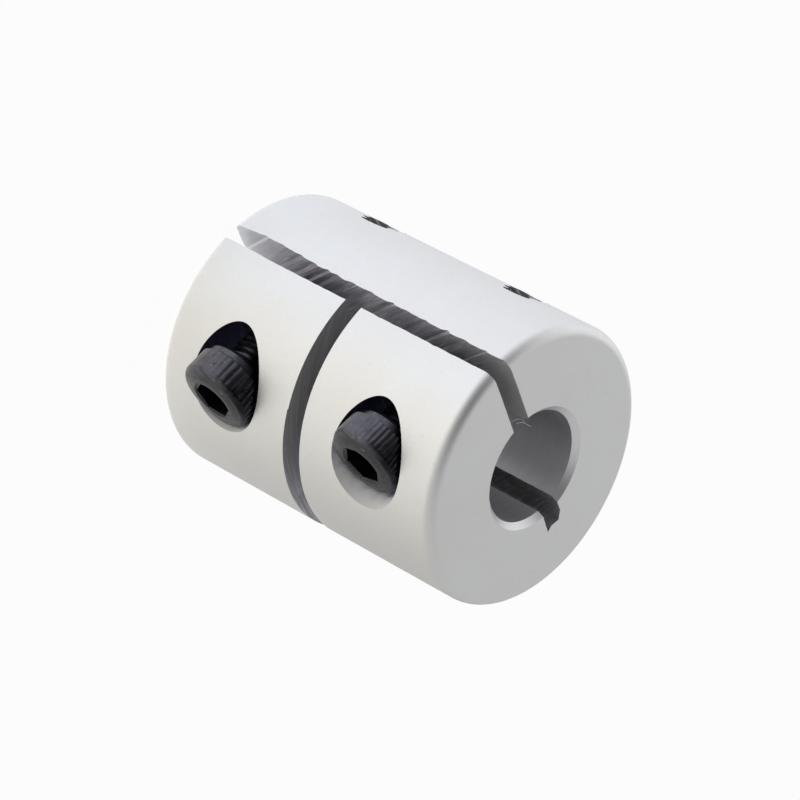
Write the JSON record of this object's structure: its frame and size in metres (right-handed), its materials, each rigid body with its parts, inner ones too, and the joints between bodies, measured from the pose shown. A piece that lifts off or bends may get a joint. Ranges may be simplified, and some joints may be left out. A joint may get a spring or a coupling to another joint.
{
  "type": "rigid coupling",
  "caption": "One-piece split clamp coupling that joins two round shafts end to end, closed by socket head screws.",
  "frame": {"origin": "on the bore's axis, at the lower end face, on which the coupling stands", "axes": "+Z along the bore; +Y towards the mouth of the long slot; the screws go in from -X, square to the slot"},
  "size_m": [0.02, 0.02, 0.025],
  "materials": {
    "body_aluminium": "fine matte blasted and clear anodised, bare saw marks in the cuts",
    "screw_black_steel": "black oxide with a light oil sheen"
  },
  "bodies": {
    "root": {"coupling_body": "body_aluminium", "upper_clamp_screw": "screw_black_steel", "lower_clamp_screw": "screw_black_steel"}
  },
  "joints": []
}
